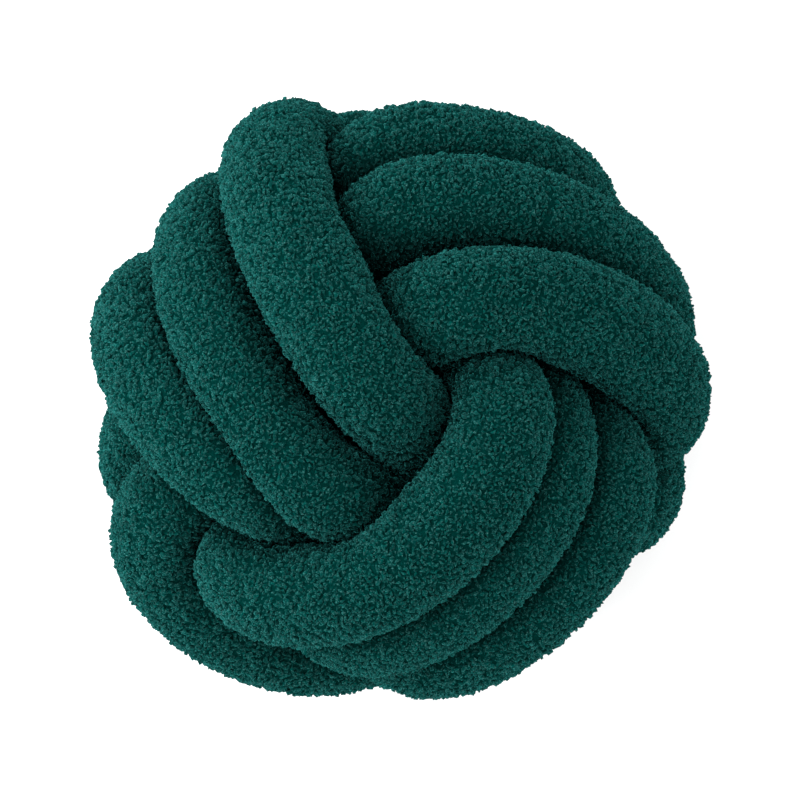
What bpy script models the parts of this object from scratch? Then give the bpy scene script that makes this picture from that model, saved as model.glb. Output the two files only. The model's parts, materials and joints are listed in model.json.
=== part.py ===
"""Knot cushion: one long filled tube of cloth, tied in a round ball knot.

The tube makes three bands at right angles to each other and goes round the ball three
times in each. Every band lies over one of the others and under the third, so its turns
are on the outside at the two tips of the band's long axis and inside at its sides.
Where turns press on each other, both walls are flat, and in the open they are round.

Metres, +Z up. The cushion lies on its back: +Z is the face where the three bands meet,
+X is right and +Y is up for someone who looks down on that face.
"""

import math
from collections import namedtuple

import bmesh
import bpy
import numpy as np
from mathutils.bvhtree import BVHTree

# Driving dimensions in metres and degrees.
TUBE_DIAMETER = 0.059
OUTER_RADIUS = 0.1246    # ball centre to the tube's middle where a band lies outside
INNER_RADIUS = 0.083     # the same where the band passes under its neighbour
INNER_STEP = 0.032       # from turn to turn where a band passes under
SETTLED_HEIGHT = 0.93    # share of its height that the ball keeps under its own weight
PRESSED_DEPTH = 0.009    # how far the lowest turns are pressed flat by the surface
WALL_GAP = 0.0009        # from each wall to the plane where it meets the next turn
CORE_SWELL = 0.052       # how far the inner passes swell into the middle of the ball
FACE_ROLL = 10.1         # the face's turn about Z
FACE_LEAN_X = 9.6        # the face's middle leans this far to +X
FACE_LEAN_Y = 6.8        # and this far to +Y

# A link joins the end of one band to the start of the next. Its middle lies here, along
# the long axis of the band that it leaves, to its side and across it.
LINK_MIDDLE = (0.017, -0.017, -0.040)

# How finely the tube is made.
RINGS = 420
BEVEL_RESOLUTION = 5
SIDES = 4 + 2 * BEVEL_RESOLUTION
ANGLE_STEP = 2.0         # from point to point along a band
LINK_STEP = 0.1          # the same along each half of a link, as a share of it
FINE_POINTS = 2400       # points of the middle line that the walls are measured against
BESIDE = 0.6             # from this many tube diameters on, they belong to another turn
DIVE_ANGLE = 14.0        # a turn takes about twice this to come out from under a band
STEP_START = 214.0       # each turn steps over to the next turn's place from here on
STEP_ANGLE = 80.0        # and over this angle, on the side that is hidden
BAND_START = -66.0       # a band starts at this angle before its first front tip
BAND_END = 942.0         # and ends at this one, near the end of its third turn
SMALLEST_TURN = 0.35     # a turn's loop is at least this share of the radius it lies at
CORE_EDGE = 0.015        # the inner passes begin to swell over this distance
CLEARING_PASSES = 40     # most times that crossing walls are drawn in
CLEARING_STEP = 0.0004   # how far each time
WALL_CLEARANCE = 0.0002  # least distance that the clearing leaves at each wall
ROUND_TO_FLAT = 8.0      # how quickly a round wall turns into a flat one

# One row for each turn of a band. Lengths are in millimetres, angles in degrees.
# front      sideways place of the turn where it crosses the front, from the band's middle
# slope      how much further it lies at the far end than in the middle of the front
# bow        how far both ends of the front bend to the same side
# start, end where it comes out from under a band before the tip and goes under after it
# lift       how much further out it lies in front than OUTER_RADIUS
# back       sideways place of the turn where it crosses the back
# back_lift  how much further out it lies at the back
Turn = namedtuple("Turn", "front slope bow start end lift back back_lift")
Band = namedtuple("Band", "turns back_start back_end back_slope")
UPPER_LEFT = Band((
    Turn(48, 9, -9, 61, 44, 10, 47, -3),
    Turn(-12, -1, -3, 62, 61, -3, -4, -3),
    Turn(-57, 21, 17, 53, 47, 4, -50, -3),
), 44, 45, -7)
UPPER_RIGHT = Band((
    Turn(45, 4, -5, 54, 53, 3, 39, 12),
    Turn(-4, -11, -9, 53, 59, -1, -21, 2),
    Turn(-58, 9, -29, 44, 60, -1, -53, 2),
), 45, 43, -15)
LOWER = Band((
    Turn(39, -11, 17, 56, 49, 6, 34, -3),
    Turn(-3, -4, 6, 46, 45, -5, -7, -1),
    Turn(-51, 0, 0, 54, 51, -4, -48, -1),
), 39, 45, 5)


def knot_axes():
    """Return the long axes of the three bands, as they lie under the viewer."""
    height = math.asin(1 / math.sqrt(3))
    level = math.cos(height)
    axes = []
    for azimuth in (150, 30, 270):
        angle = math.radians(azimuth + FACE_ROLL)
        axes.append((level * math.cos(angle), level * math.sin(angle), math.sin(height)))
    lean_x = math.radians(FACE_LEAN_X)
    lean_y = math.radians(FACE_LEAN_Y)
    about_y = np.array((
        (math.cos(lean_x), 0, math.sin(lean_x)),
        (0, 1, 0),
        (-math.sin(lean_x), 0, math.cos(lean_x)),
    ))
    about_x = np.array((
        (1, 0, 0),
        (0, math.cos(lean_y), math.sin(lean_y)),
        (0, -math.sin(lean_y), math.cos(lean_y)),
    ))
    return np.array(axes) @ (about_x @ about_y).T


def rise(degrees):
    """Go softly from 0 to 1 as the angle passes zero."""
    return 0.5 + 0.5 * np.tanh(degrees / DIVE_ANGLE)


def ease(x):
    """Go from 0 to 1 with no slope at either end."""
    x = np.clip(x, 0, 1)
    return x * x * (3 - 2 * x)


def band_path(band, axes):
    """Return the points of a band's three turns, one after the other.

    Each turn has its front tip at a whole number of rounds, and its back tip half a
    round later. Between them it passes under another band, on the inside.
    """
    long_axis, side_axis, cross_axis = axes
    angles = np.arange(BAND_START, BAND_END, ANGLE_STEP)
    side = np.sin(np.radians(angles))
    steps = ease((angles - STEP_START) / STEP_ANGLE)
    steps = steps + ease((angles - 360 - STEP_START) / STEP_ANGLE)
    inside = INNER_STEP * (1 - steps)
    across = inside.copy()
    radius = np.full(len(angles), INNER_RADIUS)
    for number, turn in enumerate(band.turns):
        from_front = angles - 360 * number
        from_back = from_front - 180
        in_front = rise(from_front + turn.start) * rise(turn.end - from_front)
        behind = rise(from_back + band.back_start) * rise(band.back_end - from_back)
        front = (turn.front + turn.slope * side + turn.bow * side**2) / 1000
        back = (turn.back + band.back_slope * side) / 1000
        across += in_front * (front - inside) + behind * (back - inside)
        radius += in_front * (OUTER_RADIUS + turn.lift / 1000 - INNER_RADIUS)
        radius += behind * (OUTER_RADIUS + turn.back_lift / 1000 - INNER_RADIUS)
    flat = np.sqrt(np.maximum(radius**2 - across**2, (SMALLEST_TURN * radius) ** 2))
    along = flat * np.cos(np.radians(angles))
    return (
        along[:, None] * long_axis
        + (flat * side)[:, None] * side_axis
        + across[:, None] * cross_axis
    )


def link_path(before, after, corner):
    """Return a smooth curve through a corner point, from one band to the next."""
    start = before[-1]
    end = after[0]
    leave = before[-1] - before[-2]
    arrive = after[1] - after[0]
    leave /= np.linalg.norm(leave)
    arrive /= np.linalg.norm(arrive)
    turn = (end - start) / np.linalg.norm(end - start)
    points = []
    for p, p_way, q, q_way in ((start, leave, corner, turn), (corner, turn, end, arrive)):
        reach = np.linalg.norm(q - p)
        for t in np.arange(0, 1, LINK_STEP)[(0 if p is corner else 1):]:
            points.append(
                (1 + 2 * t) * (1 - t) ** 2 * p
                + t * (1 - t) ** 2 * reach * p_way
                + t * t * (3 - 2 * t) * q
                + t * t * (t - 1) * reach * q_way
            )
    return np.array(points)


def even_points(path, count):
    """Return points at equal steps along a closed path."""
    closed = np.vstack((path, path[:1]))
    steps = np.linalg.norm(np.diff(closed, axis=0), axis=1)
    along = np.concatenate(([0], np.cumsum(steps)))
    places = np.arange(count) / count * along[-1]
    return np.stack([np.interp(places, along, closed[:, i]) for i in range(3)], axis=1)


def tube_path():
    """Return the tube's middle line, closed, with the surface it rests on at z = 0."""
    a, b, c = knot_axes()
    # Each band has a long axis, a side axis and a cross axis, and is tied in this order.
    tied = ((UPPER_LEFT, (a, c, b)), (LOWER, (c, b, a)), (UPPER_RIGHT, (b, a, c)))
    bands = [band_path(band, axes) for band, axes in tied]
    pieces = []
    for index, (band, axes) in enumerate(tied):
        middle = np.array(LINK_MIDDLE) @ np.array(axes)
        pieces.append(bands[index])
        pieces.append(link_path(bands[index], bands[(index + 1) % 3], middle))
    path = np.concatenate(pieces)
    path[:, 2] *= SETTLED_HEIGHT
    path[:, 2] += TUBE_DIAMETER / 2 - PRESSED_DEPTH - path[:, 2].min()
    return path


def round_tube(path, name):
    """Make the closed tube as a bevelled curve, and return it as a mesh."""
    curve = bpy.data.curves.new(name, "CURVE")
    curve.dimensions = "3D"
    curve.bevel_depth = TUBE_DIAMETER / 2
    curve.bevel_resolution = BEVEL_RESOLUTION
    spline = curve.splines.new("POLY")
    spline.points.add(len(path) - 1)
    spline.use_cyclic_u = True
    for point, place in zip(spline.points, path):
        point.co = (*place, 1)
    guide = bpy.data.objects.new(name + "_guide", curve)
    bpy.context.scene.collection.objects.link(guide)
    graph = bpy.context.evaluated_depsgraph_get()
    mesh = bpy.data.meshes.new_from_object(guide.evaluated_get(graph))
    bpy.data.objects.remove(guide)
    shell = bmesh.new()
    shell.from_mesh(mesh)
    bmesh.ops.triangulate(shell, faces=shell.faces)
    bmesh.ops.recalc_face_normals(shell, faces=shell.faces)
    shell.to_mesh(mesh)
    shell.free()
    return mesh


def wall_limits(centre, ways, fine_path, apart):
    """Return how far the wall may and would go from a point of the middle line.

    For each way out from the centre, the wall may go half way to the middle line of
    every turn that lies beside it. It would go as far as the filling pushes it. The
    third value says how far inside the ball the point is, from 0 to 1.
    """
    beside = fine_path[apart > BESIDE * TUBE_DIAMETER] - centre
    facing = np.maximum(ways @ beside.T, 1e-9)
    contact = ((beside**2).sum(axis=1) / (2 * facing)).min(axis=1)
    # The inner passes swell towards the middle of the ball and fill it.
    inward = fine_path.mean(axis=0) - centre
    depth = np.linalg.norm(inward)
    inside = ease(((OUTER_RADIUS + INNER_RADIUS) / 2 - depth) / CORE_EDGE)
    swell = CORE_SWELL * inside * np.maximum(ways @ (inward / depth), 0)
    free = TUBE_DIAMETER / 2 + swell
    soft = (free**-ROUND_TO_FLAT + contact**-ROUND_TO_FLAT) ** (-1 / ROUND_TO_FLAT)
    return contact - WALL_GAP, soft, inside


def spread(wall):
    """Even out the wall a little, along the tube and round it."""
    for axis in (0, 1):
        wall = (np.roll(wall, 1, axis) + 2 * wall + np.roll(wall, -1, axis)) / 4
    return wall


def draw_apart(places, rings, faces):
    """Draw the walls in a little more where two of them still cross."""
    hubs = np.repeat(rings, SIDES, axis=0)
    for _ in range(CLEARING_PASSES):
        ways = places - hubs
        ways /= np.linalg.norm(ways, axis=1)[:, None]
        tree = BVHTree.FromPolygons((places + ways * WALL_CLEARANCE).tolist(), faces)
        crossing = set()
        for first, second in tree.overlap(tree):
            if not set(faces[first]) & set(faces[second]):
                crossing.update(faces[first])
        if not crossing:
            break
        crossing = sorted(crossing)
        places[crossing] -= ways[crossing] * CLEARING_STEP
    return places


def press_together(mesh, rings, path):
    """Draw the round tube's walls in to where its turns meet each other."""
    fine_path = even_points(path, FINE_POINTS)
    step = np.linalg.norm(fine_path[1] - fine_path[0])
    places = np.empty(len(mesh.vertices) * 3)
    mesh.vertices.foreach_get("co", places)
    places = places.reshape(RINGS, SIDES, 3)
    ways = places - rings[:, None]
    ways /= np.linalg.norm(ways, axis=2)[:, :, None]
    limit = np.empty((RINGS, SIDES))
    wall = np.empty((RINGS, SIDES))
    inside = np.empty((RINGS, 1))
    for index, centre in enumerate(rings):
        apart = np.abs(np.arange(len(fine_path)) - len(fine_path) * index / RINGS)
        apart = np.minimum(apart, len(fine_path) - apart) * step
        limit[index], wall[index], inside[index] = wall_limits(
            centre, ways[index], fine_path, apart
        )
    wall = np.minimum(inside * wall + (1 - inside) * spread(wall), limit)
    # The lowest turns are flat where they lie on the surface, at z = 0.
    wall = np.minimum(wall, rings[:, None, 2] / np.maximum(-ways[:, :, 2], 1e-9))
    places = (rings[:, None] + ways * wall[:, :, None]).reshape(-1, 3)
    faces = [tuple(face.vertices) for face in mesh.polygons]
    places = draw_apart(places, rings, faces)
    places[places[:, 2] < 1e-5, 2] = 0
    # The origin is under the middle of the ball.
    places[:, :2] -= (places[:, :2].min(axis=0) + places[:, :2].max(axis=0)) / 2
    mesh.vertices.foreach_set("co", places.ravel())


def boucle_material():
    """Return plain dark teal cloth."""
    material = bpy.data.materials.new("teal_boucle")
    material.use_nodes = True
    shader = material.node_tree.nodes["Principled BSDF"]
    shader.inputs["Base Color"].default_value = (0.004, 0.055, 0.050, 1)
    shader.inputs["Roughness"].default_value = 0.95
    shader.inputs["Metallic"].default_value = 0
    return material


def knotted_tube(collection):
    """Make the whole cushion, one closed tube."""
    path = tube_path()
    rings = even_points(path, RINGS)
    mesh = round_tube(rings, "knotted_tube")
    press_together(mesh, rings, path)
    mesh.shade_smooth()
    mesh.materials.clear()
    mesh.materials.append(boucle_material())
    cushion = bpy.data.objects.new("knotted_tube", mesh)
    collection.objects.link(cushion)
    return cushion


def main():
    for thing in list(bpy.data.objects):
        bpy.data.objects.remove(thing)
    collection = bpy.data.collections.new("knot_cushion")
    bpy.context.scene.collection.children.link(collection)
    knotted_tube(collection)


main()
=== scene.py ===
"""Knot cushion in teal boucle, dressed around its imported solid.

One filled tube of cloth is tied in a ball knot of three bands with three turns each. This
script makes the tube as a padded piece, its cloth's loops of yarn, and a plain stage. The
sizes and colours that a user would change are properties, listed in the sidebar panel.
"""

import json
import math
from collections import namedtuple

import bpy
import numpy as np
from bpy.props import FloatProperty, FloatVectorProperty, IntProperty, PointerProperty
from mathutils.bvhtree import BVHTree
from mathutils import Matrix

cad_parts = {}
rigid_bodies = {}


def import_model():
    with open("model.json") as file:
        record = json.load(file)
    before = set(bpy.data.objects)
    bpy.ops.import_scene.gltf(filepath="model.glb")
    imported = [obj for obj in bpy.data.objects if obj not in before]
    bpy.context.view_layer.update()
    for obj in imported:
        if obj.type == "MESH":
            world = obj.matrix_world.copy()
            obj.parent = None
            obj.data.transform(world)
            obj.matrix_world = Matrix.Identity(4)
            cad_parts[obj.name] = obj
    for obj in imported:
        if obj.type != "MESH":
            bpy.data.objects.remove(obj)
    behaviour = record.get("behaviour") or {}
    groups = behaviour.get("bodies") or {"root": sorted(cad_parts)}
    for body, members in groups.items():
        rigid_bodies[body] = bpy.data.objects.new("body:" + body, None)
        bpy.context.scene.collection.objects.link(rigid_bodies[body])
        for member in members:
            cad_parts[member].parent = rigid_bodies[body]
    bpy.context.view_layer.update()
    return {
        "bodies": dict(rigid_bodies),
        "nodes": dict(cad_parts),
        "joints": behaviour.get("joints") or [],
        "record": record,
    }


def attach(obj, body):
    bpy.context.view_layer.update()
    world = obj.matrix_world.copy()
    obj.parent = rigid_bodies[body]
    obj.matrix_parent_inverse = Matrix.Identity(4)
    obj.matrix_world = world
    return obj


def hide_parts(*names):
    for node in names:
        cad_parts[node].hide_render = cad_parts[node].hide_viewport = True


bl_info = {
    "name": "Knot cushion in boucle",
    "version": (1, 0, 0),
    "blender": (4, 5, 0),
    "location": "3D View > Sidebar > Cushion",
    "description": "Makes a ball knot cushion from one filled tube of boucle cloth",
    "category": "Object",
}

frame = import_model()

# The tube's path, as its solid has it, in metres and degrees.
TUBE_DIAMETER = 0.059
OUTER_RADIUS = 0.1246    # ball centre to the tube's middle where a band lies outside
INNER_RADIUS = 0.083     # the same where the band passes under its neighbour
INNER_STEP = 0.032       # from turn to turn where a band passes under
SETTLED_HEIGHT = 0.93    # share of its height that the ball keeps under its own weight
PRESSED_DEPTH = 0.009    # how far the lowest turns are pressed flat by the surface
WALL_GAP = 0.0009        # from each wall to the plane where it meets the next turn
CORE_SWELL = 0.052       # how far the inner passes swell into the middle of the ball
FACE_ROLL = 10.1         # the face's turn about Z
FACE_LEAN_X = 9.6        # the face's middle leans this far to +X
FACE_LEAN_Y = 6.8        # and this far to +Y
BAND_AZIMUTHS = (150, 30, 270)     # where the bands' long axes point before that turn
# A link joins the end of one band to the start of the next. Its middle lies here, along
# the long axis of the band that it leaves, to its side and across it.
LINK_MIDDLE = (0.017, -0.017, -0.040)
ANGLE_STEP = 2.0         # from point to point along a band
LINK_STEP = 0.1          # the same along each half of a link, as a share of it
FINE_POINTS = 2400       # points of the middle line that the walls are measured against
BESIDE = 0.6             # from this many tube diameters on, they belong to another turn
DIVE_ANGLE = 14.0        # a turn takes about twice this to come out from under a band
STEP_START = 214.0       # each turn steps over to the next turn's place from here on
STEP_ANGLE = 80.0        # and over this angle, on the side that is hidden
BAND_START = -66.0       # a band starts at this angle before its first front tip
BAND_END = 942.0         # and ends at this one, near the end of its third turn
SMALLEST_TURN = 0.35     # a turn's loop is at least this share of the radius it lies at
CORE_EDGE = 0.015        # the inner passes begin to swell over this distance
ROUND_TO_FLAT = 8.0      # how quickly a round wall turns into a flat one

# One row for each turn of a band. Lengths are in millimetres, angles in degrees.
# front      sideways place of the turn where it crosses the front, from the band's middle
# slope      how much further it lies at the far end than in the middle of the front
# bow        how far both ends of the front bend to the same side
# start, end where it comes out from under a band before the tip and goes under after it
# lift       how much further out it lies in front than OUTER_RADIUS
# back       sideways place of the turn where it crosses the back
# back_lift  how much further out it lies at the back
Turn = namedtuple("Turn", "front slope bow start end lift back back_lift")
Band = namedtuple("Band", "turns back_start back_end back_slope")
UPPER_LEFT = Band((
    Turn(48, 9, -9, 61, 44, 10, 47, -3),
    Turn(-12, -1, -3, 62, 61, -3, -4, -3),
    Turn(-57, 21, 17, 53, 47, 4, -50, -3),
), 44, 45, -7)
UPPER_RIGHT = Band((
    Turn(45, 4, -5, 54, 53, 3, 39, 12),
    Turn(-4, -11, -9, 53, 59, -1, -21, 2),
    Turn(-58, 9, -29, 44, 60, -1, -53, 2),
), 45, 43, -15)
LOWER = Band((
    Turn(39, -11, 17, 56, 49, 6, 34, -3),
    Turn(-3, -4, 6, 46, 45, -5, -7, -1),
    Turn(-51, 0, 0, 54, 51, -4, -48, -1),
), 39, 45, 5)

# How finely the padded tube is made, before its last subdivision.
RINGS = 700
BEVEL_RESOLUTION = 14
SIDES = 4 + 2 * BEVEL_RESOLUTION
FIRST_FRAME = 1          # the cloth is simulated from this frame to the last
LAST_FRAME = 20

# Rays go out from each point of the cloth to find how much of its outlook is free.
RAYS = 40                # over a whole ball
RAY_START = 0.0008       # they start this far off the cloth
RAY_REACH = 0.25
RAY_LEAST_RISE = 0.15    # rays that lie flatter than this on the cloth aren't counted
HIDDEN_SHARE = 0.02      # no loops where a smaller share of the rays is free
SHOWN_SHARE = 0.06       # from there on the loops are as dense as anywhere
# Painted shade: the colour of the cloth and of the loops is darkened towards the creases,
# where the rays find little free outlook.
LIT_SHARE = 0.95         # the cloth has its full colour where this share is free
CREASE_DEPTH = 1.5       # how quickly it gets dark towards the creases

# The loops of the boucle. Lengths are in metres, angles in degrees.
LOOP_PIECES = 5          # the loops are this many pieces, one after the other along the tube
MOST_LOOPS = 1000000     # tried for each square metre, before their spacing thins them
LOOP_SIDES = 3           # a loop is seen as a small lump, so few sides do
LOOP_TOP = 0.72          # width of its top, as a share of its foot's
LOOP_ROOT = 0.0003       # its foot lies this far inside the ground cloth
LOOP_LEAN = 32.0         # it leans up to this many degrees either way
LOOP_JITTER = 0.0005     # it is up to this far out of its place
LEAST_STRETCH = (1.0, 0.65, 0.7)   # a loop's length, width and height are stretched
MOST_STRETCH = (2.0, 0.9, 1.3)     # by factors between these
# Painted shade: a loop's foot is darkened towards the pile's dark colour, as shade falls deep
# in the pile.
ROOT_SHADE = 0.75        # at its foot a loop has this share of its colour, and all at its top
TUFT_SIZE = 0.0036       # loops bunch in tufts of about this size
TUFT_HEIGHT = 0.0020     # and a tuft's middle stands this much above the hollows between
TUFT_RANGE = (0.3, 0.7)  # the pattern's values in a hollow and at the middle of a tuft
# Painted shade: the hollows between tufts are darkened towards the pile's dark colour.
HOLLOW_SHADE = 0.52      # in the hollows a loop has this share of its colour
HOLLOW_RANGE = (0.30, 0.55)        # the pattern's values there, and where the colour is full
SHADES = (0.75, 1.25)    # the darkest and the palest loop, as shares of the yarn's colour
# Single fibres are about 0.02 mm thick, far too fine for the photo's 0.5 mm a pixel, so
# the bundles that they form are drawn.
FIBRE_SIZE = 0.0007
FIBRE_RELIEF = 0.0006
# Painted highlight: pale specks of fibre bundles that catch the light fade in between these
# values.
FIBRE_RANGE = (0.52, 0.74)         # bundles stand up between these values of the pattern
LEAST_HEIGHT = 0.0003    # loops that the cushion lies on stay this far above the surface

# The photo's frame: 800 pixels across, of 0.492 mm each at the cushion.
VIEW_WIDTH = 0.3934
CAMERA_HEIGHT = 2.0
FLOOR_SIZE = 6.0
KEY_PLACE = (-1.1, 0.2, 1.3)       # the light hangs to the left, as the photo's shade shows
KEY_SIZE = 1.8


def linear(hex_colour):
    """Turn an sRGB hex colour into linear red, green and blue."""
    values = [int(hex_colour[i:i + 2], 16) / 255 for i in (0, 2, 4)]
    return tuple(
        v / 12.92 if v <= 0.04045 else ((v + 0.055) / 1.055) ** 2.4 for v in values
    )


# ---------------------------------------------------------------- properties


class CushionLook(bpy.types.PropertyGroup):
    """Sizes and colours of the cushion that a user would change"""

    cloth_depth: FloatProperty(
        name="Cloth depth", description="How far the ground cloth lies inside the solid",
        default=0.0011, unit="LENGTH",
    )
    slack: FloatProperty(
        name="Slack", description="How much smaller the tube starts than it is when filled",
        default=0.0002, unit="LENGTH",
    )
    puff: FloatProperty(
        name="Most puff", description="Furthest that the filling may push the cloth",
        default=0.0050, unit="LENGTH",
    )
    pressure: FloatProperty(
        name="Pressure", description="Pressure of the filling on the cloth", default=4.0,
    )
    loop_width: FloatProperty(
        name="Loop width", description="Outside width of a loop of the yarn",
        default=0.0027, unit="LENGTH",
    )
    loop_height: FloatProperty(
        name="Loop height", description="How far a loop stands out of the ground cloth",
        default=0.0016, unit="LENGTH",
    )
    loop_spacing: FloatProperty(
        name="Loop spacing", description="Least distance between two loops",
        default=0.00155, unit="LENGTH",
    )
    seed: IntProperty(name="Seed", description="Picks another scatter of loops", default=3)
    # Painted shade: this dark colour is mixed into the loops' feet and into the hollows
    # between tufts. The ground cloth's own material doesn't use it.
    pile_shade_colour: FloatVectorProperty(
        name="Cloth", description="Colour of the ground cloth", subtype="COLOR",
        size=3, default=linear("001F1F"),
    )
    # Painted shade: the near-black colour mixed into the cloth and the loops towards the
    # creases. The ground cloth's knit also takes it as its dark tone.
    crease_shade_and_knit_colour: FloatVectorProperty(
        name="Creases", description="Colour of the cloth deep in the creases",
        subtype="COLOR", size=3, default=linear("000505"),
    )
    # Painted highlight: the pale colour of fibre bundles catching the light, mixed in as
    # specks.
    fibre_highlight_colour: FloatVectorProperty(
        name="Fibres", description="Colour of fine fibres that catch the light",
        subtype="COLOR", size=3, default=linear("3C6663"),
    )
    loop_colour: FloatVectorProperty(
        name="Loops", description="Colour of the looped yarn", subtype="COLOR",
        size=3, default=linear("003430"),
    )


class StageLook(bpy.types.PropertyGroup):
    """Colours and lights of the plain stage"""

    floor_colour: FloatVectorProperty(
        name="Floor", description="Colour of the floor", subtype="COLOR",
        size=3, default=linear("F3F3F3"),
    )
    key_power: FloatProperty(
        name="Key light", description="Power of the large light above",
        default=40.0, unit="POWER",
    )
    fill: FloatProperty(
        name="Fill", description="Strength of the even light from all round", default=1.7,
    )


# ---------------------------------------------------------------- the tube's path


def knot_axes():
    """Return the long axes of the three bands, as they lie under the viewer."""
    height = math.asin(1 / math.sqrt(3))
    level = math.cos(height)
    axes = []
    for azimuth in BAND_AZIMUTHS:
        angle = math.radians(azimuth + FACE_ROLL)
        axes.append((level * math.cos(angle), level * math.sin(angle), math.sin(height)))
    lean_x = math.radians(FACE_LEAN_X)
    lean_y = math.radians(FACE_LEAN_Y)
    about_y = np.array((
        (math.cos(lean_x), 0, math.sin(lean_x)),
        (0, 1, 0),
        (-math.sin(lean_x), 0, math.cos(lean_x)),
    ))
    about_x = np.array((
        (1, 0, 0),
        (0, math.cos(lean_y), math.sin(lean_y)),
        (0, -math.sin(lean_y), math.cos(lean_y)),
    ))
    return np.array(axes) @ (about_x @ about_y).T


def rise(degrees):
    """Go softly from 0 to 1 as the angle passes zero."""
    return 0.5 + 0.5 * np.tanh(degrees / DIVE_ANGLE)


def ease(x):
    """Go from 0 to 1 with no slope at either end."""
    x = np.clip(x, 0, 1)
    return x * x * (3 - 2 * x)


def band_path(band, axes):
    """Return the points of a band's three turns, one after the other."""
    long_axis, side_axis, cross_axis = axes
    angles = np.arange(BAND_START, BAND_END, ANGLE_STEP)
    side = np.sin(np.radians(angles))
    steps = ease((angles - STEP_START) / STEP_ANGLE)
    steps = steps + ease((angles - 360 - STEP_START) / STEP_ANGLE)
    inside = INNER_STEP * (1 - steps)
    across = inside.copy()
    radius = np.full(len(angles), INNER_RADIUS)
    for number, turn in enumerate(band.turns):
        from_front = angles - 360 * number
        from_back = from_front - 180
        in_front = rise(from_front + turn.start) * rise(turn.end - from_front)
        behind = rise(from_back + band.back_start) * rise(band.back_end - from_back)
        front = (turn.front + turn.slope * side + turn.bow * side**2) / 1000
        back = (turn.back + band.back_slope * side) / 1000
        across += in_front * (front - inside) + behind * (back - inside)
        radius += in_front * (OUTER_RADIUS + turn.lift / 1000 - INNER_RADIUS)
        radius += behind * (OUTER_RADIUS + turn.back_lift / 1000 - INNER_RADIUS)
    flat = np.sqrt(np.maximum(radius**2 - across**2, (SMALLEST_TURN * radius) ** 2))
    along = flat * np.cos(np.radians(angles))
    return (
        along[:, None] * long_axis
        + (flat * side)[:, None] * side_axis
        + across[:, None] * cross_axis
    )


def link_path(before, after, corner):
    """Return a smooth curve through a corner point, from one band to the next."""
    start = before[-1]
    end = after[0]
    leave = before[-1] - before[-2]
    arrive = after[1] - after[0]
    leave /= np.linalg.norm(leave)
    arrive /= np.linalg.norm(arrive)
    turn = (end - start) / np.linalg.norm(end - start)
    points = []
    for p, p_way, q, q_way in ((start, leave, corner, turn), (corner, turn, end, arrive)):
        reach = np.linalg.norm(q - p)
        for t in np.arange(0, 1, LINK_STEP)[(0 if p is corner else 1):]:
            points.append(
                (1 + 2 * t) * (1 - t) ** 2 * p
                + t * (1 - t) ** 2 * reach * p_way
                + t * t * (3 - 2 * t) * q
                + t * t * (t - 1) * reach * q_way
            )
    return np.array(points)


def even_points(path, count):
    """Return points at equal steps along a closed path."""
    closed = np.vstack((path, path[:1]))
    steps = np.linalg.norm(np.diff(closed, axis=0), axis=1)
    along = np.concatenate(([0], np.cumsum(steps)))
    places = np.arange(count) / count * along[-1]
    return np.stack([np.interp(places, along, closed[:, i]) for i in range(3)], axis=1)


def tube_path():
    """Return the tube's middle line, closed, with the surface it rests on at z = 0."""
    a, b, c = knot_axes()
    # Each band has a long axis, a side axis and a cross axis, and is tied in this order.
    tied = ((UPPER_LEFT, (a, c, b)), (LOWER, (c, b, a)), (UPPER_RIGHT, (b, a, c)))
    bands = [band_path(band, axes) for band, axes in tied]
    pieces = []
    for index, (band, axes) in enumerate(tied):
        middle = np.array(LINK_MIDDLE) @ np.array(axes)
        pieces.append(bands[index])
        pieces.append(link_path(bands[index], bands[(index + 1) % 3], middle))
    path = np.concatenate(pieces)
    path[:, 2] *= SETTLED_HEIGHT
    path[:, 2] += TUBE_DIAMETER / 2 - PRESSED_DEPTH - path[:, 2].min()
    return path


# ---------------------------------------------------------------- shared helpers


def select_only(thing):
    """Deselect everything, then select one object and make it active."""
    bpy.ops.object.select_all(action="DESELECT")
    thing.select_set(True)
    bpy.context.view_layer.objects.active = thing


def read_places(mesh):
    """Return a mesh's vertex places as an array of rows."""
    places = np.empty(len(mesh.vertices) * 3)
    mesh.vertices.foreach_get("co", places)
    return places.reshape(-1, 3)


def write_places(mesh, places):
    """Set a mesh's vertex places."""
    mesh.vertices.foreach_set("co", places.ravel())
    mesh.update()


def keep_values(mesh, name, values):
    """Keep one number for each point of a mesh, under a name that node trees can read."""
    mesh.attributes.new(name, "FLOAT", "POINT").data.foreach_set("value", values)


def add_node(tree, kind, settings=None, links=None):
    """Add a node with its settings, and its inputs as values or as sockets to link."""
    node = tree.nodes.new(kind)
    for name, value in (settings or {}).items():
        setattr(node, name, value)
    for name, value in (links or {}).items():
        if isinstance(value, bpy.types.NodeSocket):
            tree.links.new(value, node.inputs[name])
        else:
            node.inputs[name].default_value = value
    return node


# ---------------------------------------------------------------- the filled tube


def round_tube(rings, name):
    """Make the closed tube as a bevelled curve, turned into a mesh of quads."""
    bpy.ops.object.select_all(action="DESELECT")
    bpy.ops.curve.primitive_bezier_circle_add(location=(0, 0, 0))
    tube = bpy.context.object
    tube.name = name
    curve = tube.data
    curve.splines.clear()
    curve.dimensions = "3D"
    curve.bevel_depth = TUBE_DIAMETER / 2
    curve.bevel_resolution = BEVEL_RESOLUTION
    spline = curve.splines.new("POLY")
    spline.points.add(len(rings) - 1)
    spline.use_cyclic_u = True
    for point, place in zip(spline.points, rings):
        point.co = (*place, 1)
    bpy.ops.object.convert(target="MESH")
    tube = bpy.context.object
    tube.data.name = name
    return tube


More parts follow.
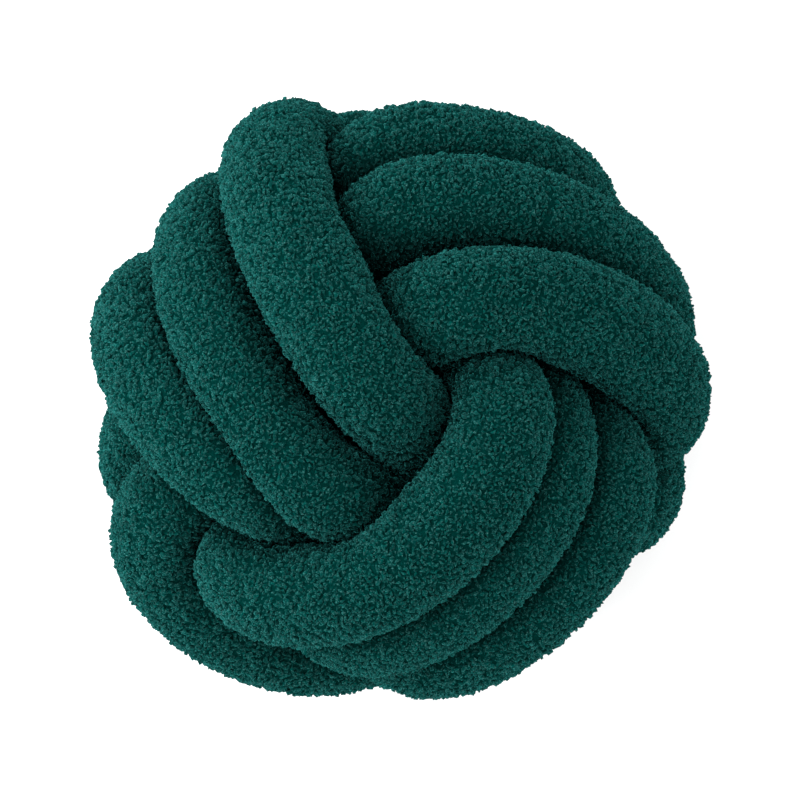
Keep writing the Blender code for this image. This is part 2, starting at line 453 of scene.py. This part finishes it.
def wall_limits(centre, ways, fine_path, apart):
    """Return how far the wall may and would go from a point of the middle line."""
    beside = fine_path[apart > BESIDE * TUBE_DIAMETER] - centre
    facing = np.maximum(ways @ beside.T, 1e-9)
    contact = ((beside**2).sum(axis=1) / (2 * facing)).min(axis=1)
    # The inner passes swell towards the middle of the ball and fill it.
    inward = fine_path.mean(axis=0) - centre
    depth = np.linalg.norm(inward)
    inside = ease(((OUTER_RADIUS + INNER_RADIUS) / 2 - depth) / CORE_EDGE)
    swell = CORE_SWELL * inside * np.maximum(ways @ (inward / depth), 0)
    free = TUBE_DIAMETER / 2 + swell
    soft = (free**-ROUND_TO_FLAT + contact**-ROUND_TO_FLAT) ** (-1 / ROUND_TO_FLAT)
    return contact - WALL_GAP, soft, inside


def spread(wall, times):
    """Even out the wall a little, along the tube and round it."""
    for _ in range(times):
        for axis in (0, 1):
            wall = (np.roll(wall, 1, axis) + 2 * wall + np.roll(wall, -1, axis)) / 4
    return wall


def press_together(mesh, rings, path):
    """Draw the round tube's walls in to where its turns meet.

    Return the ways out from its middle line, how far out the wall is, and how far it may be.
    """
    fine_path = even_points(path, FINE_POINTS)
    step = np.linalg.norm(fine_path[1] - fine_path[0])
    places = read_places(mesh).reshape(RINGS, SIDES, 3)
    ways = places - rings[:, None]
    ways /= np.linalg.norm(ways, axis=2)[:, :, None]
    limit = np.empty((RINGS, SIDES))
    wall = np.empty((RINGS, SIDES))
    inside = np.empty((RINGS, 1))
    for index, centre in enumerate(rings):
        apart = np.abs(np.arange(len(fine_path)) - len(fine_path) * index / RINGS)
        apart = np.minimum(apart, len(fine_path) - apart) * step
        limit[index], wall[index], inside[index] = wall_limits(
            centre, ways[index], fine_path, apart
        )
    wall = np.minimum(inside * wall + (1 - inside) * spread(wall, 3), limit)
    wall = np.minimum(wall, rings[:, None, 2] / np.maximum(-ways[:, :, 2], 1e-9))
    return ways, wall, limit


def fill_with_fibre(context, tube, rings, ways, limit, look):
    """Press the cloth out with a short simulation, as its filling does.

    A point moves no further than the property allows, and not past the plane where its
    turn meets the next one, or below the surface.
    """
    before = read_places(tube.data).reshape(ways.shape)
    select_only(tube)
    cloth = tube.modifiers.new("filling", "CLOTH")
    cloth.settings.use_pressure = True
    cloth.settings.uniform_pressure_force = look.pressure
    cloth.settings.effector_weights.gravity = 0
    cloth.point_cache.frame_start = FIRST_FRAME
    cloth.point_cache.frame_end = LAST_FRAME
    for frame in range(FIRST_FRAME, LAST_FRAME + 1):
        context.scene.frame_set(frame)
    bpy.ops.object.modifier_apply(modifier=cloth.name)
    context.scene.frame_set(FIRST_FRAME)
    moves = read_places(tube.data).reshape(ways.shape) - before
    far = np.linalg.norm(moves, axis=2, keepdims=True)
    moves *= np.minimum(1, look.puff / np.maximum(far, 1e-9))
    places = before + moves
    out = ((places - rings[:, None]) * ways).sum(axis=2)
    excess = np.maximum(out - (limit - look.cloth_depth), 0)
    places -= ways * excess[:, :, None]
    places[:, :, 2] = np.maximum(places[:, :, 2], look.cloth_depth)
    write_places(tube.data, places.reshape(-1, 3))


def openness(mesh, ways):
    """Return the share of the way out that is open at each point, from 0 to 1.

    Rays go out from each point, evenly over the half ball round its way out. Points deep
    in a crease or inside the ball see only the next turn.
    """
    places = read_places(mesh)
    tree = BVHTree.FromPolygons(
        places.tolist(), [tuple(face.vertices) for face in mesh.polygons]
    )
    golden = math.pi * (3 - math.sqrt(5))
    numbers = np.arange(RAYS)
    heights = 1 - 2 * (numbers + 0.5) / RAYS
    flat = np.sqrt(1 - heights**2)
    rays = np.stack((flat * np.cos(golden * numbers), flat * np.sin(golden * numbers),
                     heights), axis=1)
    open_share = np.zeros(len(places))
    for index, (place, way) in enumerate(zip(places, ways)):
        facing = rays @ way
        outward = rays[facing > RAY_LEAST_RISE]
        start = place + way * RAY_START
        free = sum(
            1 for ray in outward if tree.ray_cast(start, ray, RAY_REACH)[0] is None
        )
        open_share[index] = free / len(outward)
    return open_share


class CUSHION_OT_filled_tube(bpy.types.Operator):
    """Make the filled tube of ground cloth, tied and pressed together"""

    bl_idname = "cushion.filled_tube"
    bl_label = "Filled tube"

    def execute(self, context):
        look = context.scene.cushion_look
        path = tube_path()
        rings = even_points(path, RINGS)
        tube = round_tube(rings, "cushion_tube")
        mesh = tube.data
        ways, wall, limit = press_together(mesh, rings, path)
        inset = look.cloth_depth + look.slack
        places = rings[:, None] + ways * (wall - inset)[:, :, None]
        write_places(mesh, places.reshape(-1, 3))
        fill_with_fibre(context, tube, rings, ways, limit, look)
        # The solid's origin is under the middle of its box.
        outside = (rings[:, None] + ways * wall[:, :, None]).reshape(-1, 3)
        shift = (outside[:, :2].min(axis=0) + outside[:, :2].max(axis=0)) / 2
        places = read_places(mesh)
        places[:, :2] -= shift
        write_places(mesh, places)
        open_share = openness(mesh, ways.reshape(-1, 3)).reshape(RINGS, SIDES)
        # Painted shade: the colour is darkened towards the creases by this share, kept under
        # the name light.
        lit = ease(spread(open_share, 1) / LIT_SHARE) ** CREASE_DEPTH
        dense = ease((open_share - HIDDEN_SHARE) / (SHOWN_SHARE - HIDDEN_SHARE))
        keep_values(mesh, "light", lit.ravel())
        keep_values(mesh, "open", spread(dense, 2).ravel())
        keep_values(mesh, "along", np.repeat(np.arange(RINGS) / RINGS, SIDES))
        select_only(tube)
        subdivide = tube.modifiers.new("finer", "SUBSURF")
        subdivide.levels = 1
        subdivide.render_levels = 1
        bpy.ops.object.modifier_apply(modifier=subdivide.name)
        bpy.ops.object.shade_smooth()
        tube.data.materials.clear()
        tube.data.materials.append(boucle_ground(look))
        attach(tube, "root")
        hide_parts("knotted_tube")
        return {"FINISHED"}


# ---------------------------------------------------------------- the loops


def yarn_loop(look):
    """Model one loop of yarn as a small lump, narrower at its top and open below."""
    bpy.ops.object.select_all(action="DESELECT")
    foot = look.loop_width / 2
    bpy.ops.mesh.primitive_cone_add(
        vertices=LOOP_SIDES, radius1=foot, radius2=foot * LOOP_TOP, depth=look.loop_height,
        end_fill_type="NGON", location=(0, 0, look.loop_height / 2 - LOOP_ROOT),
    )
    loop = bpy.context.object
    loop.name = "yarn_loop"
    bpy.ops.object.transform_apply(location=True, rotation=False, scale=False)
    bpy.ops.object.mode_set(mode="EDIT")
    bpy.ops.mesh.select_mode(type="FACE")
    bpy.ops.mesh.select_all(action="DESELECT")
    bpy.ops.object.mode_set(mode="OBJECT")
    for face in loop.data.polygons:
        face.select = face.normal.z < -0.9
    bpy.ops.object.mode_set(mode="EDIT")
    bpy.ops.mesh.delete(type="ONLY_FACE")
    bpy.ops.object.mode_set(mode="OBJECT")
    bpy.ops.object.shade_smooth()
    heights = read_places(loop.data)[:, 2]
    # Painted shade: the lower half of the loop is marked to be darker.
    keep_values(loop.data, "tip", np.where(heights > heights.mean(), 1.0, ROOT_SHADE))
    return loop


def scatter_tree(look, loop):
    """Make the node tree that scatters loops over the part of the tube it is told."""
    tree = bpy.data.node_groups.new("scatter_loops", "GeometryNodeTree")
    sockets = tree.interface
    sockets.new_socket("Geometry", in_out="INPUT", socket_type="NodeSocketGeometry")
    sockets.new_socket("From", in_out="INPUT", socket_type="NodeSocketFloat")
    sockets.new_socket("To", in_out="INPUT", socket_type="NodeSocketFloat")
    sockets.new_socket("Geometry", in_out="OUTPUT", socket_type="NodeSocketGeometry")
    given = add_node(tree, "NodeGroupInput")
    made = add_node(tree, "NodeGroupOutput")
    named = {"data_type": "FLOAT"}
    along = add_node(tree, "GeometryNodeInputNamedAttribute", named, {"Name": "along"})
    shown = add_node(tree, "GeometryNodeInputNamedAttribute", named, {"Name": "open"})
    after = add_node(
        tree, "FunctionNodeCompare", {"operation": "GREATER_EQUAL"},
        {"A": along.outputs[0], "B": given.outputs["From"]},
    )
    before = add_node(
        tree, "FunctionNodeCompare", {"operation": "LESS_THAN"},
        {"A": along.outputs[0], "B": given.outputs["To"]},
    )
    both = add_node(tree, "FunctionNodeBooleanMath", {"operation": "AND"})
    tree.links.new(after.outputs[0], both.inputs[0])
    tree.links.new(before.outputs[0], both.inputs[1])
    points = add_node(
        tree, "GeometryNodeDistributePointsOnFaces", {"distribute_method": "POISSON"},
        {
            "Mesh": given.outputs["Geometry"], "Selection": both.outputs[0],
            "Distance Min": look.loop_spacing, "Density Max": MOST_LOOPS,
            "Density Factor": shown.outputs[0], "Seed": look.seed,
        },
    )
    # Loops rise and fall together in tufts, and each is a little out of place.
    place = add_node(tree, "GeometryNodeInputPosition")
    tufts = add_node(
        tree, "ShaderNodeTexNoise", None,
        {"Vector": place.outputs[0], "Scale": 1 / TUFT_SIZE, "Detail": 1.0},
    )
    height = add_node(
        tree, "ShaderNodeMapRange", None,
        {
            "Value": tufts.outputs["Fac"],
            "From Min": TUFT_RANGE[0], "From Max": TUFT_RANGE[1],
            "To Min": -TUFT_HEIGHT / 2, "To Max": TUFT_HEIGHT / 2,
        },
    )
    lifted = add_node(
        tree, "ShaderNodeVectorMath", {"operation": "SCALE"},
        {"Vector": points.outputs["Normal"], "Scale": height.outputs["Result"]},
    )
    jitter = add_node(
        tree, "FunctionNodeRandomValue", {"data_type": "FLOAT_VECTOR"},
        {
            "Min": (-LOOP_JITTER,) * 3, "Max": (LOOP_JITTER,) * 3,
            "Seed": look.seed + 4,
        },
    )
    offset = add_node(tree, "ShaderNodeVectorMath", {"operation": "ADD"})
    tree.links.new(lifted.outputs[0], offset.inputs[0])
    tree.links.new(jitter.outputs[0], offset.inputs[1])
    moved = add_node(
        tree, "GeometryNodeSetPosition", None,
        {"Geometry": points.outputs["Points"], "Offset": offset.outputs[0]},
    )
    lean = math.radians(LOOP_LEAN)
    turn = add_node(
        tree, "FunctionNodeRandomValue", {"data_type": "FLOAT_VECTOR"},
        {"Min": (-lean, -lean, 0), "Max": (lean, lean, 2 * math.pi), "Seed": look.seed + 1},
    )
    turned = add_node(
        tree, "FunctionNodeRotateRotation", {"rotation_space": "LOCAL"},
        {"Rotation": points.outputs["Rotation"], "Rotate By": turn.outputs[0]},
    )
    size = add_node(
        tree, "FunctionNodeRandomValue", {"data_type": "FLOAT_VECTOR"},
        {"Min": LEAST_STRETCH, "Max": MOST_STRETCH, "Seed": look.seed + 2},
    )
    shape = add_node(
        tree, "GeometryNodeObjectInfo", {"transform_space": "ORIGINAL"},
        {"Object": loop, "As Instance": True},
    )
    placed = add_node(
        tree, "GeometryNodeInstanceOnPoints", None,
        {
            "Points": moved.outputs["Geometry"], "Instance": shape.outputs["Geometry"],
            "Rotation": turned.outputs[0], "Scale": size.outputs[0],
        },
    )
    shade = add_node(
        tree, "FunctionNodeRandomValue", {"data_type": "FLOAT"}, {"Seed": look.seed + 3}
    )
    shaded = add_node(
        tree, "GeometryNodeStoreNamedAttribute",
        {"data_type": "FLOAT", "domain": "INSTANCE"},
        {
            "Geometry": placed.outputs["Instances"], "Name": "shade",
            "Value": shade.outputs["Value"],
        },
    )
    real = add_node(
        tree, "GeometryNodeRealizeInstances", None,
        {"Geometry": shaded.outputs["Geometry"]},
    )
    tree.links.new(real.outputs["Geometry"], made.inputs["Geometry"])
    return tree


class CUSHION_OT_loops(bpy.types.Operator):
    """Scatter loops of yarn over all of the cloth that is open to the outside"""

    bl_idname = "cushion.loops"
    bl_label = "Loops"

    def execute(self, context):
        look = context.scene.cushion_look
        tube = bpy.data.objects["cushion_tube"]
        loop = yarn_loop(look)
        tree = scatter_tree(look, loop)
        yarn = boucle_yarn(look)
        for number in range(LOOP_PIECES):
            piece = bpy.data.objects.new(f"boucle_loops_{number + 1}", tube.data.copy())
            context.scene.collection.objects.link(piece)
            select_only(piece)
            scatter = piece.modifiers.new("scatter", "NODES")
            scatter.node_group = tree
            limits = [s.identifier for s in tree.interface.items_tree if s.in_out == "INPUT"]
            scatter[limits[1]] = number / LOOP_PIECES
            scatter[limits[2]] = (number + 1) / LOOP_PIECES
            bpy.ops.object.modifier_apply(modifier=scatter.name)
            # Where the cushion rests, the loops are pressed flat on the surface.
            places = read_places(piece.data)
            places[:, 2] = np.maximum(places[:, 2], LEAST_HEIGHT)
            write_places(piece.data, places)
            piece.data.materials.clear()
            piece.data.materials.append(yarn)
            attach(piece, "root")
        bpy.data.objects.remove(loop)
        return {"FINISHED"}


# ---------------------------------------------------------------- materials


def boucle_yarn(look):
    """Boucle yarn, looped polyester: quite matt, with pale specks painted as highlights where
    bundles of fibres stand up.

    Each loop has its own shade at random. Painted shade darkens its foot and the hollows
    between tufts. Towards the creases the colour dies away as painted shade, where little
    light comes back out of the pile. A faint sheen gives the tubes the soft pale rim that
    standing fibres give in the photo.
    """
    material = bpy.data.materials.new("boucle_yarn")
    material.use_nodes = True
    tree = material.node_tree
    shader = tree.nodes["Principled BSDF"]
    dark, light = ((*(share * v for v in look.loop_colour), 1) for share in SHADES)
    deep = (*look.pile_shade_colour, 1)
    place = add_node(tree, "ShaderNodeTexCoord").outputs["Object"]
    shade, tip, lit = (
        add_node(tree, "ShaderNodeAttribute", {"attribute_name": name}).outputs["Fac"]
        for name in ("shade", "tip", "light")
    )
    fibres = add_node(
        tree, "ShaderNodeTexNoise", None,
        {"Vector": place, "Scale": 1 / FIBRE_SIZE, "Detail": 2.0, "Roughness": 0.6},
    ).outputs["Fac"]
    # Painted highlight: pale specks where bundles of fibres stand up and catch the light.
    fibre_highlights = add_node(
        tree, "ShaderNodeMapRange", None,
        {"Value": fibres, "From Min": FIBRE_RANGE[0], "From Max": FIBRE_RANGE[1]},
    ).outputs["Result"]
    # The same pattern that lifts the loops into tufts, so that the hollows get painted shade.
    tufts = add_node(
        tree, "ShaderNodeTexNoise", None,
        {"Vector": place, "Scale": 1 / TUFT_SIZE, "Detail": 1.0},
    ).outputs["Fac"]
    raised = add_node(
        tree, "ShaderNodeMapRange", None,
        {
            "Value": tufts, "From Min": HOLLOW_RANGE[0], "From Max": HOLLOW_RANGE[1],
            "To Min": HOLLOW_SHADE,
        },
    ).outputs["Result"]
    # Each row mixes the colour so far, which None stands for, with another by a factor. A
    # mix node's colours are its inputs 6 and 7, and its mixed colour is its output 2.
    colour = dark
    for factor, first, second in (
        (shade, None, light),
        # painted highlight specks on the fibres
        (fibre_highlights, None, (*look.fibre_highlight_colour, 1)),
        # painted shade at the loop's foot
        (tip, deep, None),
        # painted shade in the hollows between tufts
        (raised, deep, None),
        # painted shade towards the creases
        (lit, (*look.crease_shade_and_knit_colour, 1), None),
    ):
        mix = add_node(
            tree, "ShaderNodeMix", {"data_type": "RGBA"},
            {0: factor, 6: first or colour, 7: second or colour},
        )
        colour = mix.outputs[2]
    tree.links.new(colour, shader.inputs["Base Color"])
    bump = add_node(
        tree, "ShaderNodeBump", None,
        {"Strength": 0.7, "Distance": FIBRE_RELIEF, "Height": fibres},
    )
    tree.links.new(bump.outputs["Normal"], shader.inputs["Normal"])
    shader.inputs["Roughness"].default_value = 0.9
    shader.inputs["Specular IOR Level"].default_value = 0.005
    shader.inputs["Sheen Weight"].default_value = 0.28
    shader.inputs["Sheen Roughness"].default_value = 0.35
    shader.inputs["Sheen Tint"].default_value = (*linear("59E1DA"), 1)
    return material


def boucle_ground(look):
    """Boucle ground cloth, knitted polyester: matt, dark and unevenly fuzzy between loops."""
    material = bpy.data.materials.new("boucle_ground")
    material.use_nodes = True
    tree = material.node_tree
    shader = tree.nodes["Principled BSDF"]
    place = add_node(tree, "ShaderNodeTexCoord").outputs["Object"]
    lit = add_node(tree, "ShaderNodeAttribute", {"attribute_name": "light"}).outputs["Fac"]
    knit = add_node(
        tree, "ShaderNodeTexNoise", None,
        {"Vector": place, "Scale": 1 / FIBRE_SIZE, "Detail": 2.0, "Roughness": 0.6},
    ).outputs["Fac"]
    fuzz = add_node(
        tree, "ShaderNodeMix", {"data_type": "RGBA"},
        {0: knit, 6: (*look.crease_shade_and_knit_colour, 1), 7: (*look.loop_colour, 1)},
    ).outputs[2]
    # Painted shade: towards the creases the knit's colour is darkened by the light value.
    colour = add_node(
        tree, "ShaderNodeMix", {"data_type": "RGBA"},
        {0: lit, 6: (*look.crease_shade_and_knit_colour, 1), 7: fuzz},
    ).outputs[2]
    tree.links.new(colour, shader.inputs["Base Color"])
    bump = add_node(
        tree, "ShaderNodeBump", None,
        {"Strength": 0.8, "Distance": FIBRE_RELIEF, "Height": knit},
    )
    tree.links.new(bump.outputs["Normal"], shader.inputs["Normal"])
    shader.inputs["Roughness"].default_value = 0.95
    shader.inputs["Specular IOR Level"].default_value = 0.005
    return material


# ---------------------------------------------------------------- the stage


class CUSHION_OT_stage(bpy.types.Operator):
    """Make the pale floor, the soft lights and the camera"""

    bl_idname = "cushion.stage"
    bl_label = "Stage"

    def execute(self, context):
        look = context.scene.cushion_stage
        bpy.ops.object.select_all(action="DESELECT")
        bpy.ops.mesh.primitive_plane_add(size=FLOOR_SIZE, location=(0, 0, 0))
        floor = context.object
        floor.name = "floor"
        paint = bpy.data.materials.new("matt_paint")
        paint.use_nodes = True
        shader = paint.node_tree.nodes["Principled BSDF"]
        shader.inputs["Base Color"].default_value = (*look.floor_colour, 1)
        shader.inputs["Roughness"].default_value = 0.9
        floor.data.materials.append(paint)
        bpy.ops.object.light_add(type="AREA", location=KEY_PLACE)
        key = context.object
        key.name = "key_light"
        key.data.size = KEY_SIZE
        key.data.energy = look.key_power
        key.rotation_mode = "QUATERNION"
        key.rotation_quaternion = key.location.to_track_quat("Z", "Y")
        world = context.scene.world or bpy.data.worlds.new("studio")
        context.scene.world = world
        world.use_nodes = True
        background = world.node_tree.nodes["Background"]
        background.inputs["Color"].default_value = (1, 1, 1, 1)
        background.inputs["Strength"].default_value = look.fill
        bpy.ops.object.camera_add(location=(0, 0, CAMERA_HEIGHT), rotation=(0, 0, 0))
        camera = context.object
        camera.name = "photo_camera"
        camera.data.type = "ORTHO"
        camera.data.ortho_scale = VIEW_WIDTH
        camera.data.clip_end = 10
        context.scene.camera = camera
        context.scene.view_settings.view_transform = "Standard"
        return {"FINISHED"}


class CUSHION_PT_panel(bpy.types.Panel):
    """The cushion's pieces, sizes and colours"""

    bl_idname = "CUSHION_PT_panel"
    bl_label = "Knot cushion"
    bl_space_type = "VIEW_3D"
    bl_region_type = "UI"
    bl_category = "Cushion"

    def draw(self, context):
        for operator in (CUSHION_OT_filled_tube, CUSHION_OT_loops, CUSHION_OT_stage):
            self.layout.operator(operator.bl_idname)
        for group in (context.scene.cushion_look, context.scene.cushion_stage):
            for name in group.__annotations__:
                self.layout.prop(group, name)


CLASSES = (
    CushionLook, StageLook, CUSHION_OT_filled_tube, CUSHION_OT_loops, CUSHION_OT_stage,
    CUSHION_PT_panel,
)


def register():
    """Add the classes and the scene's properties."""
    for kind in CLASSES:
        bpy.utils.register_class(kind)
    bpy.types.Scene.cushion_look = PointerProperty(type=CushionLook)
    bpy.types.Scene.cushion_stage = PointerProperty(type=StageLook)


def unregister():
    """Take the properties and the classes away again."""
    del bpy.types.Scene.cushion_stage
    del bpy.types.Scene.cushion_look
    for kind in reversed(CLASSES):
        bpy.utils.unregister_class(kind)


def main():
    """Make all pieces in turn."""
    register()
    bpy.ops.cushion.filled_tube()
    bpy.ops.cushion.loops()
    bpy.ops.cushion.stage()


if __name__ == "__main__":
    main()
